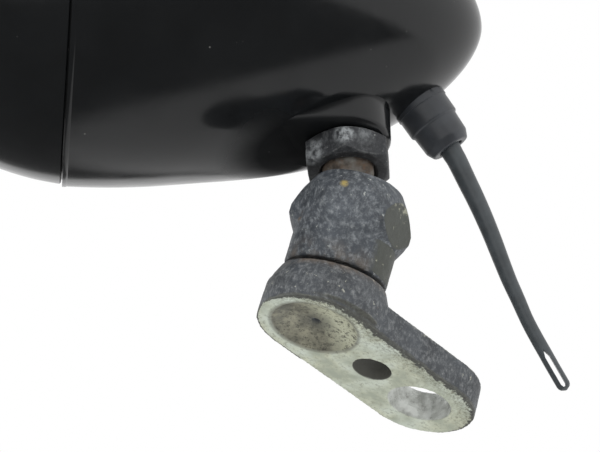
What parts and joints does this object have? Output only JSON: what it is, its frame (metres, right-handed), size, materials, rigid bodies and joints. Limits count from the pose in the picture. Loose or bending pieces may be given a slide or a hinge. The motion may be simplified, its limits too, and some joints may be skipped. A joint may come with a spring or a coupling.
{
  "type": "vehicle driving lamp",
  "caption": "Bullet-shaped driving lamp on a ball-jointed bracket arm, with a rubber cable boot and a sleeve on its lead.",
  "frame": {"origin": "on the bracket's mounting face, midway between its two bolt holes", "axes": "+Z out of the mounting face towards the lamp, the lamp looks along -Y, the arm runs rearwards and towards -X"},
  "size_m": [0.1184, 0.2283, 0.1522],
  "materials": {
    "gloss_black": "glossy black stove enamel, dusty",
    "worn_black": "worn black paint over steel",
    "bare_casting": "grey casting with worn paint",
    "rusty_steel": "brown rusted steel",
    "zinc_steel": "zinc plated",
    "black_rubber": "matte black rubber",
    "silvered": "silvered bowl",
    "clear_glass": "clear glass",
    "brass": "brass",
    "fibre": "pressed fibre",
    "bakelite": "moulded insulator"
  },
  "bodies": {
    "bracket": {"bracket_arm": "bare_casting", "spring_washer": "zinc_steel"},
    "cap_nut": {"cap_nut": "worn_black"},
    "swivel": {"lower_seat": "fibre"},
    "stud": {"ball_stud": "rusty_steel"},
    "jam_nut": {"jam_nut": "worn_black"},
    "lamp": {"bucket_shell": "gloss_black", "stud_block": "zinc_steel", "cable_boot": "black_rubber", "cable_sleeve": "black_rubber", "snap_connector": "black_rubber", "connector_clip": "zinc_steel", "inner_cable": "black_rubber"},
    "rim": {"rim": "gloss_black", "lens_gasket": "black_rubber", "lens": "clear_glass", "reflector": "silvered", "rim_clip_1": "zinc_steel", "rim_clip_2": "zinc_steel", "rim_clip_3": "zinc_steel", "rim_clip_4": "zinc_steel", "rim_nut": "zinc_steel"},
    "rim_screw": {"rim_screw": "zinc_steel"},
    "holder": {"bulb_holder": "brass", "contact_disc": "bakelite", "contact_pin_1": "brass", "contact_pin_2": "brass", "contact_spring": "zinc_steel"},
    "bulb": {"bulb_cap": "brass", "bulb_glass": "clear_glass", "filament": "zinc_steel"}
  },
  "joints": [
    {"name": "cap_nut_turn", "type": "hinge", "parent": "bracket", "child": "cap_nut", "pos_m": [0.02519, -0.0256, 0.03495], "axis": [0.1908, 0, 0.9816], "range_deg": [0, 180]},
    {"name": "lamp_pan", "type": "hinge", "parent": "bracket", "child": "swivel", "pos_m": [0.02519, -0.0256, 0.03495], "axis": [0.1908, 0, 0.9816], "range_deg": [-90, 90]},
    {"name": "lamp_tilt", "type": "hinge", "parent": "swivel", "child": "stud", "pos_m": [0.02519, -0.0256, 0.03495], "axis": [1, 0, 0], "range_deg": [-24, 3]},
    {"name": "jam_nut_turn", "type": "hinge", "parent": "stud", "child": "jam_nut", "pos_m": [0.02519, -0.0256, 0.03495], "axis": [0, -0.2622, 0.965], "range_deg": [0, 180]},
    {"name": "lamp_turn", "type": "hinge", "parent": "stud", "child": "lamp", "pos_m": [0.02519, -0.0256, 0.03495], "axis": [0, -0.2622, 0.965], "range_deg": [-90, 90]},
    {"name": "rim_off", "type": "slide", "parent": "lamp", "child": "rim", "axis": [0, -0.965, -0.2622], "range_m": [0, 0.045]},
    {"name": "rim_screw_turn", "type": "hinge", "parent": "rim", "child": "rim_screw", "pos_m": [0.02519, -0.14144, 0.14399], "axis": [0, -0.2622, 0.965], "range_deg": [0, 360]},
    {"name": "holder_out", "type": "slide", "parent": "rim", "child": "holder", "axis": [0, 0.965, 0.2622], "range_m": [0, 0.03]},
    {"name": "bulb_out", "type": "slide", "parent": "holder", "child": "bulb", "axis": [0, -0.965, -0.2622], "range_m": [0, 0.008]}
  ]
}
